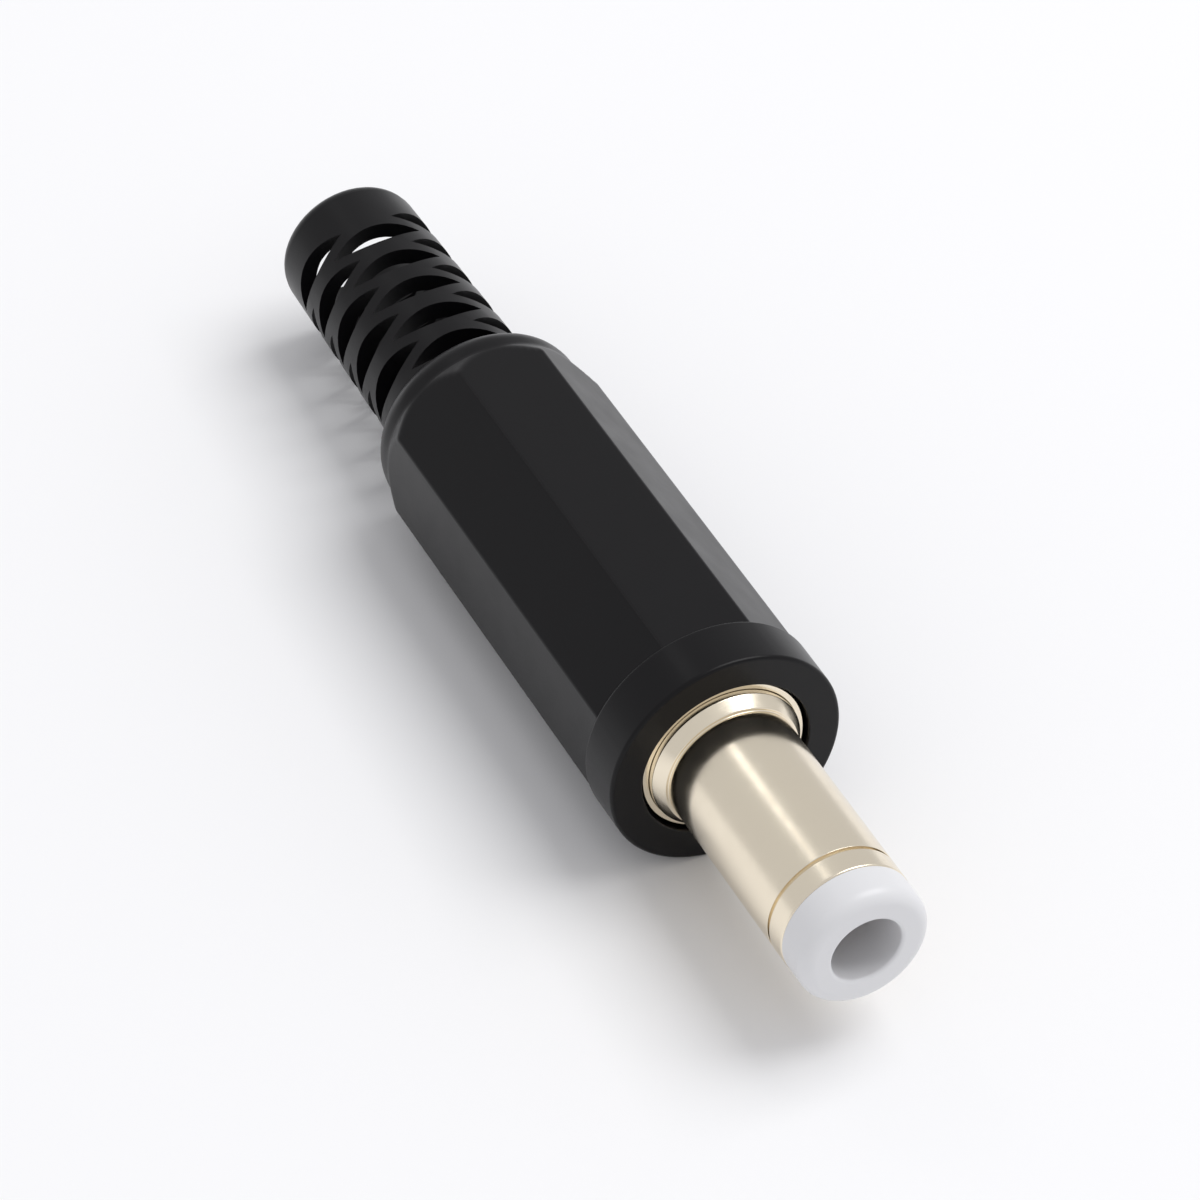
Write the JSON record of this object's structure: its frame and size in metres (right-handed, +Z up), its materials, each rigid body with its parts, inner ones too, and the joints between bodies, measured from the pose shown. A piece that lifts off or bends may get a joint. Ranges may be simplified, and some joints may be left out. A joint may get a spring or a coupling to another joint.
{
  "type": "dc barrel plug",
  "caption": "Screw-together coaxial power plug with an eight-sided grip, a slotted strain relief, a plated barrel and a white insulating nose round its pin socket.",
  "frame": {"origin": "on the plug's axis, in the plane of the cover's front face", "axes": "+X along the axis towards the tip; +Z up, out of the middle of one flat of the grip"},
  "size_m": [0.0469, 0.0098, 0.0098],
  "materials": {
    "cover_plastic": "black moulded thermoplastic, satin",
    "nickel_plate": "turned brass, satin nickel plate",
    "white_plastic": "white moulded thermoplastic, smooth",
    "contact_brass": "turned brass, bright",
    "tin_plate": "stamped brass sheet, dull tin plate",
    "brown_fibre": "brown phenolic fibre board"
  },
  "bodies": {
    "cover": {"cover": "cover_plastic"},
    "insert": {"threaded_bush": "nickel_plate", "barrel_sleeve": "nickel_plate", "nose_insulator": "white_plastic", "centre_contact": "contact_brass", "earth_lug": "tin_plate", "insulating_washer": "brown_fibre", "centre_lug": "tin_plate"}
  },
  "joints": [
    {"name": "insert_slide", "type": "slide", "parent": "cover", "child": "insert", "axis": [1, 0, 0], "range_m": [0, 0.02]}
  ]
}
